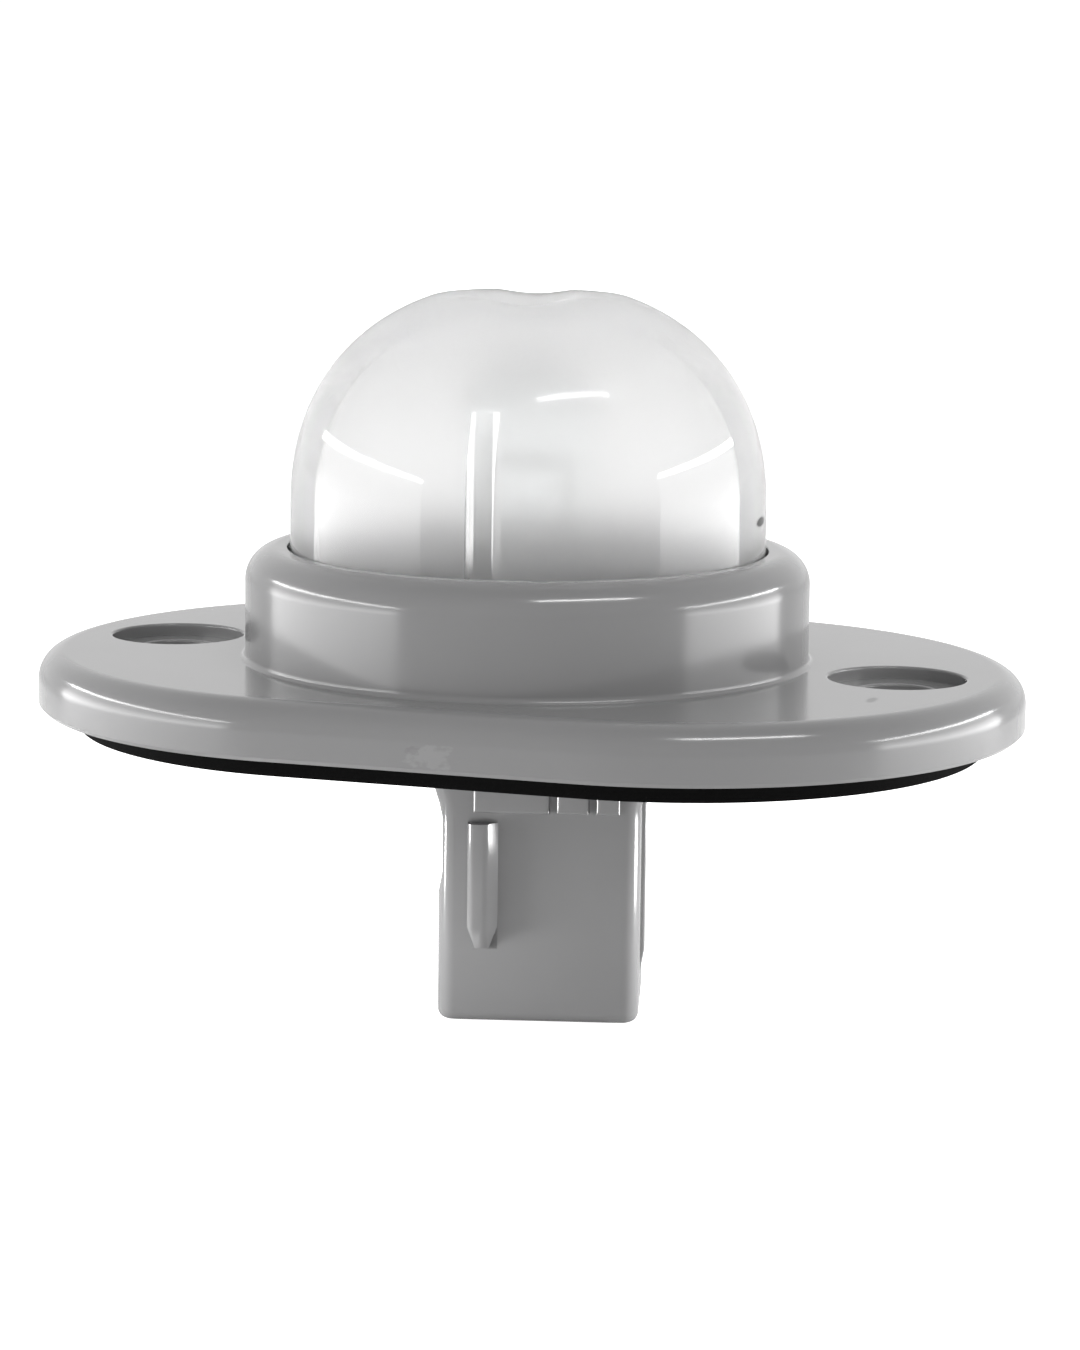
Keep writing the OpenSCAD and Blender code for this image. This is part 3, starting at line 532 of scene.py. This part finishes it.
# The wall's inside is the part of the skin that looks towards a point in the middle of the lens. It is
# frosted, and two strips along the rib's flat face get a white mirror finish, a painted glint that stands in
# for the light the rib's rounded corners turn back. They begin at these shares of half the rib's width, left
# and right of its middle, and lie this near to its face's plane.
lens_middle, left_glint_from, right_glint_from, face_gap = 12.0, -0.75, 0.5, 0.05
centres, normals = np.empty((2, len(lens.data.polygons), 3))
lens.data.polygons.foreach_get("center", centres.reshape(-1))
lens.data.polygons.foreach_get("normal", normals.reshape(-1))
centres /= mm
looks_in = ((centres - [0, 0, lens_middle]) * normals).sum(axis=1) < 0
out_to_rib = centres @ np.array([cos(rib_turn), sin(rib_turn), 0.0])
beside_rib = centres @ np.array([-sin(rib_turn), cos(rib_turn), 0.0]) / rib_half
on_face = looks_in & (np.abs(out_to_rib - rib_face) < face_gap) & (centres[:, 2] < rib_top)
in_glint_strip = (np.abs(beside_rib) < 1) & ((beside_rib < left_glint_from) | (beside_rib > right_glint_from))
# The lens's materials are clear (0), frosted (1) and the painted glint's white mirror (2)
material_of_face = np.select([on_face & in_glint_strip, looks_in], [2, 1], 0).astype(np.int32)
lens.data.polygons.foreach_set("material_index", material_of_face)
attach(lens, "root")
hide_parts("lens")


# Rubber: a sponge gasket, cut out of sheet, lies between the flange and the car's body, and a thin ring lies
# between the lens and its seat in the collar. Both are dull and black, and held by what presses on them.
def dress(material, *names):
    """The material on each of the named nodes, in place of their own."""
    for name in names:
        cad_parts[name].data.materials.clear()
        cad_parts[name].data.materials.append(material)


sponge = finish(
    "sponge_rubber", (0.003, 0.003, 0.003),
    {"Grain waves": 2600.0, "Grain": 1.0, "Roughness": 0.85, "Clouding": 0.1, "Scratches": 0.0}, 0.03,
    shade=0.2, specular_ior_level=0.06)
seal_rubber = finish(
    "seal_rubber", (0.02, 0.02, 0.02),
    {"Grain waves": 1800.0, "Grain": 0.6, "Roughness": 0.6, "Clouding": 0.1, "Scratches": 0.0}, 0.01,
    shade=0.15)
dress(sponge, "flange_gasket")
dress(seal_rubber, "lens_seal")


# Bulb: clear glass pressed flat at its base, with two lead wires through the wedge and a coiled tungsten
# wire between them. It pushes into the holder.
bulb_clear = finish(
    "bulb_glass", (0.97, 0.98, 0.98),
    {"Grain waves": 200.0, "Grain": 0.2, "Roughness": 0.02, "Clouding": 0.02, "Scratches": 0.0}, 0.002,
    shade=0.005, transmission_weight=1.0, ior=1.5)
lead_metal = finish(
    "drawn_wire", (0.55, 0.54, 0.52),
    {"Grain waves": 3000.0, "Grain": 0.4, "Roughness": 0.3, "Clouding": 0.1, "Scratches": 0.3}, 0.002,
    metallic=1.0)
tungsten = finish(
    "tungsten_coil", (0.2, 0.19, 0.18),
    {"Grain waves": 3000.0, "Grain": 0.4, "Roughness": 0.45, "Clouding": 0.1, "Scratches": 0.0}, 0.001,
    metallic=1.0)
dress(bulb_clear, "bulb_glass")
dress(lead_metal, "left_lead_wire", "right_lead_wire")
dress(tungsten, "filament")


# Holder and contacts: a dark heat-resistant insert in the cup's floor, with two brass strips stamped and
# folded into spring leaves above and plug tabs below.
holder_plastic = finish(
    "holder_plastic", (0.05, 0.05, 0.055),
    {"Grain waves": 1600.0, "Grain": 0.6, "Roughness": 0.5, "Clouding": 0.1, "Scratches": 0.1}, 0.006,
    shade=0.1)
brass = finish(
    "stamped_brass", (0.72, 0.53, 0.24),
    {"Grain waves": 2000.0, "Grain": 0.3, "Roughness": 0.28, "Clouding": 0.15, "Scratches": 0.4}, 0.003,
    metallic=1.0)
dress(holder_plastic, "bulb_holder")
dress(brass, "left_contact", "right_contact")


# Camera: 258 mm from the lamp, 17 degrees to its right and 9.7 degrees above, rolled a little, with a long
# lens, as fitted to the outlines in the photograph.
view_turn, view_rise, view_roll = radians(17.01), radians(9.7), radians(0.66)
view_right, view_up, view_away = 0.96, 2.51, 258.25
toward = Vector((sin(view_turn) * cos(view_rise), -cos(view_turn) * cos(view_rise), sin(view_rise)))
right = Vector((cos(view_turn), sin(view_turn), 0))
up = toward.cross(right)
tilted_right = right * cos(view_roll) + up * sin(view_roll)
tilted_up = up * cos(view_roll) - right * sin(view_roll)
viewpoint = right * view_right + up * view_up + toward * view_away + Vector((0, 0, flange_under))
camera = bpy.data.objects.new("camera", bpy.data.cameras.new("camera"))
bpy.context.scene.collection.objects.link(camera)
camera_axes = Matrix((tilted_right, tilted_up, toward)).transposed().to_4x4()
camera.matrix_world = Matrix.Translation(viewpoint * mm) @ camera_axes
camera.data.sensor_fit = "VERTICAL"
camera.data.sensor_height = 36.0
camera.data.lens = 95.69
camera.data.clip_start = 0.01
camera.data.clip_end = 20.0
bpy.context.scene.camera = camera


# Studio: a plain pale floor and surround that show white, two low softboxes close at the left and the
# right with a bright strip along the top of each, two small reflectors beside the connector, and one tube
# overhead.
floor_half, floor_gap = 3000.0, 0.1
# The floor lights the lamp from this distance on, and fully from the second one
floor_glow_starts, floor_glow_full, floor_glow = 40.0, 130.0, 0.2


def seen_white(tree, shown, through, otherwise):
    """One value where the camera looks, another where it looks through the lens, and a last one, a number
    or a socket, for the light that falls on the lamp from there."""
    rays = node(tree, "ShaderNodeLightPath").outputs
    looking = maths(tree, "MULTIPLY", rays["Is Camera Ray"], shown)
    looking_through = maths(tree, "MULTIPLY", rays["Is Transmission Ray"], through)
    return maths(tree, "MAXIMUM", maths(tree, "MAXIMUM", looking, looking_through), otherwise)


floor_corners = np.array([(-1, -1), (1, -1), (1, 1), (-1, 1)]) * floor_half
floor_mesh = bpy.data.meshes.new("floor")
floor_mesh.from_pydata(level(floor_corners, shroud_mouth - floor_gap) * mm, [], [(0, 1, 2, 3)])
floor = bpy.data.objects.new("floor", floor_mesh)
bpy.context.scene.collection.objects.link(floor)
floor_white = bpy.data.materials.new("floor_white")
floor_white.use_nodes = True
floor_tree = floor_white.node_tree
paint = floor_tree.nodes["Principled BSDF"]
paint.inputs["Base Color"].default_value = (0.9, 0.9, 0.9, 1)
paint.inputs["Roughness"].default_value = 0.9
paint.inputs["Specular IOR Level"].default_value = 0.0
paint.inputs["Emission Color"].default_value = (1, 1, 1, 1)
floor_place = node(floor_tree, "ShaderNodeTexCoord").outputs["Object"]
from_lamp = node(floor_tree, "ShaderNodeVectorMath", {0: floor_place}, operation="LENGTH").outputs["Value"]
glow = ramp(floor_tree, from_lamp, floor_glow_starts * mm, floor_glow_full * mm, 0.0, floor_glow)
floor_light = seen_white(floor_tree, shown=0.95, through=1.0, otherwise=glow)
floor_tree.links.new(floor_light, paint.inputs["Emission Strength"])
floor_mesh.materials.append(floor_white)

# Seen by the lamp, the surround is brightest behind it, a little less bright before it and dim beside and
# above it. It brightens while the cosine of the angle to straight before or behind goes from the first value
# to the second.
brightens_from, brightens_to = 0.2, 0.95
dim_side, bright_before, bright_behind = 0.5, 0.92, 1.05
near = Vector((sin(view_turn), -cos(view_turn), 0))
world = bpy.data.worlds.new("studio")
bpy.context.scene.world = world
world.use_nodes = True
world_tree = world.node_tree
direction = node(world_tree, "ShaderNodeTexCoord").outputs["Generated"]
nearness = node(world_tree, "ShaderNodeVectorMath", {0: direction, 1: near},
                operation="DOT_PRODUCT").outputs["Value"]
before = ramp(world_tree, nearness, brightens_from, brightens_to, dim_side, bright_before)
behind = ramp(world_tree, nearness, -brightens_from, -brightens_to, dim_side, bright_behind)
lit = maths(world_tree, "MAXIMUM", before, behind)
surround_light = seen_white(world_tree, shown=1.05, through=1.0, otherwise=lit)
world_tree.links.new(surround_light, world_tree.nodes["Background"].inputs["Color"])

# Name, place and facing of the back as (right, near, up) seen by the camera, roll, width, height, radiance,
# spread
lights = (("left_softbox", (-140, 22, 13), (-1, 0, 0), 0, 195, 66, 2.4, 180),
          ("right_softbox", (140, 3, 13), (1, 0, 0), 0, 142, 66, 2.55, 180),
          ("left_strip", (-140, 17, 49), (-1, 0, 0), 0, 205, 6, 22, 180),
          ("right_strip", (140, -2, 49), (1, 0, 0), 0, 150, 6, 22, 180),
          ("left_reflector", (-46, 14, -15), (-1, 0, 0), 0, 10, 8, 15, 50),
          ("right_reflector", (46, 3, -15), (1, 0, 0), 0, 18, 10, 5, 50),
          ("overhead_tube", (92, 132, 277), (0, 0, 1), 43, 170, 20, 30, 180))
# A softbox's light is full between the two middle heights, level with the gasket's underside, and falls off
# towards the outer two. Its strengths are those at the bottom, in the middle and at the top.
box_low, full_from, full_to, box_high = -22.0, -1.0, 0.0, 30.0
low_strength, full_strength, high_strength = 0.6, 2.6, 0.7
axes = Matrix((right, near, (0, 0, 1))).transposed()
for name, centre, back, roll, width, height, radiance, spread in lights:
    lamp = bpy.data.lights.new(name, "AREA")
    lamp.shape = "RECTANGLE"
    lamp.size, lamp.size_y = width * mm, height * mm
    lamp.energy = radiance * pi * lamp.size * lamp.size_y
    lamp.spread = radians(spread)
    if "softbox" in name:
        lamp.use_nodes = True
        tree = lamp.node_tree
        place = node(tree, "ShaderNodeNewGeometry").outputs["Position"]
        up_the_box = node(tree, "ShaderNodeSeparateXYZ", {0: place}).outputs["Z"]
        rise = ramp(tree, up_the_box, box_low * mm, full_from * mm, low_strength, full_strength)
        fall = ramp(tree, up_the_box, full_to * mm, box_high * mm, full_strength, high_strength)
        tree.links.new(maths(tree, "MINIMUM", rise, fall), tree.nodes["Emission"].inputs["Strength"])
    softbox = bpy.data.objects.new(name, lamp)
    facing = (axes @ Vector(back)).to_track_quat("Z", "Y").to_matrix().to_4x4()
    rolled = Matrix.Rotation(radians(roll), 4, "Z")
    softbox.matrix_world = Matrix.Translation(axes @ Vector(centre) * mm) @ facing @ rolled
    softbox.visible_camera = False
    softbox.visible_transmission = False
    bpy.context.scene.collection.objects.link(softbox)

bpy.context.scene.view_settings.view_transform = "Standard"
